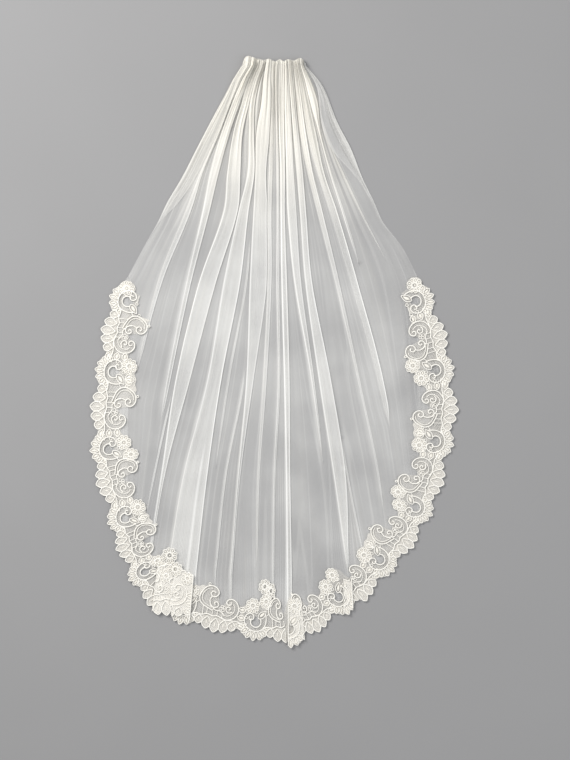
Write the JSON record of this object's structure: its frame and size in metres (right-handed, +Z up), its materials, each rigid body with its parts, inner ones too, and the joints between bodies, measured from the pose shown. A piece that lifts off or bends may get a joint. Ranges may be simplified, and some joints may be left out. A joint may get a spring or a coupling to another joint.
{
  "type": "bridal veil",
  "caption": "Bridal veil laid flat: a fingertip tier of tulle, gathered to a short heading, pleated and edged with scalloped corded lace.",
  "frame": {"origin": "middle of the veil's box, on the surface that it lies on", "axes": "+Y along the veil from the hem to the gathered heading, +Z up off the surface, +X to the right of the heading"},
  "size_m": [0.5697, 0.9139, 0.0129],
  "materials": {
    "tulle": "fine soft ivory net, sheer in one layer and milky where it is gathered",
    "lace": "matte ivory corded lace on a fine net ground"
  },
  "bodies": {
    "root": {"tulle_panel": "tulle", "gather_heading": "tulle", "side_fold_left": "tulle", "side_fold_right": "tulle", "pleat_01": "tulle", "pleat_02": "tulle", "pleat_03": "tulle", "pleat_04": "tulle", "pleat_05": "tulle", "pleat_06": "tulle", "pleat_07": "tulle", "pleat_08": "tulle", "pleat_09": "tulle", "pleat_10": "tulle", "pleat_11": "tulle", "pleat_12": "tulle", "pleat_13": "tulle", "lace_left_side": "lace", "lace_hem_left": "lace", "lace_hem_right": "lace", "lace_right_side": "lace", "lace_fold_left_under": "lace", "lace_fold_left_over": "lace", "lace_fold_centre": "lace", "lace_fold_right": "lace"}
  },
  "joints": []
}
